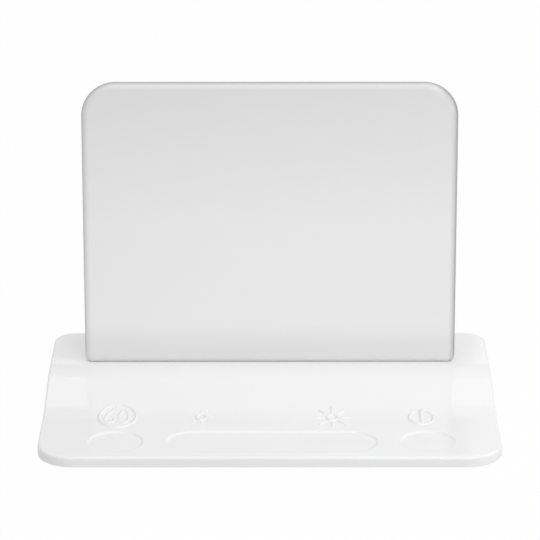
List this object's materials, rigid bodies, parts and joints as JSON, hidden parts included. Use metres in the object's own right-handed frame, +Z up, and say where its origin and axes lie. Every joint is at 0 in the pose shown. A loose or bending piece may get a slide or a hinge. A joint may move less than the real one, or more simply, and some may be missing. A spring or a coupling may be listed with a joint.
{
  "type": "table lamp",
  "caption": "Flat LED light panel with full-round edges, leaning back a little on a low ramped base with shallow touch fields for timer, brightness and power.",
  "frame": {"origin": "middle of the footprint, on the surface that the rubber feet stand on", "axes": "+X to the user's right along the base's width, +Y from the user to the rear, +Z up"},
  "size_m": [0.2, 0.133, 0.1415],
  "materials": {
    "opal_front": "satin",
    "gloss_white": "gloss",
    "satin_white": "satin",
    "film_white": "matte",
    "clear_acrylic": "polished",
    "grey_foam": "matte",
    "aluminium": "satin",
    "led_board_white": "satin",
    "led_phosphor": "satin",
    "lead_red": "satin",
    "steel": "satin",
    "foot_rubber": "matte",
    "copper": "satin",
    "board_green": "satin",
    "black_plastic": "satin",
    "header_cream": "satin",
    "ferrite": "matte"
  },
  "bodies": {
    "root": {"front_diffuser": "opal_front", "rear_cover": "satin_white", "diffuser_sheet": "film_white", "light_guide": "clear_acrylic", "reflector_sheet": "film_white", "foam_sheet": "grey_foam", "led_rail": "aluminium", "led_board": "led_board_white", "led_packages": "led_phosphor", "led_leads": "lead_red", "panel_clamp": "steel", "clamp_screws": "steel", "base_top_cover": "gloss_white", "base_bottom_cover": "satin_white", "rubber_feet": "foot_rubber", "base_screws": "steel", "ballast_plates": "steel", "timer_electrode": "copper", "slider_electrodes": "copper", "power_electrode": "copper", "touch_board": "board_green", "touch_chip": "black_plastic", "touch_ribbon": "film_white", "main_board": "board_green", "board_screws": "steel", "ribbon_socket": "header_cream", "lead_socket": "header_cream", "driver_chip": "black_plastic", "driver_inductor": "ferrite", "driver_capacitors": "aluminium", "power_socket": "black_plastic", "socket_pin": "steel"}
  },
  "joints": []
}
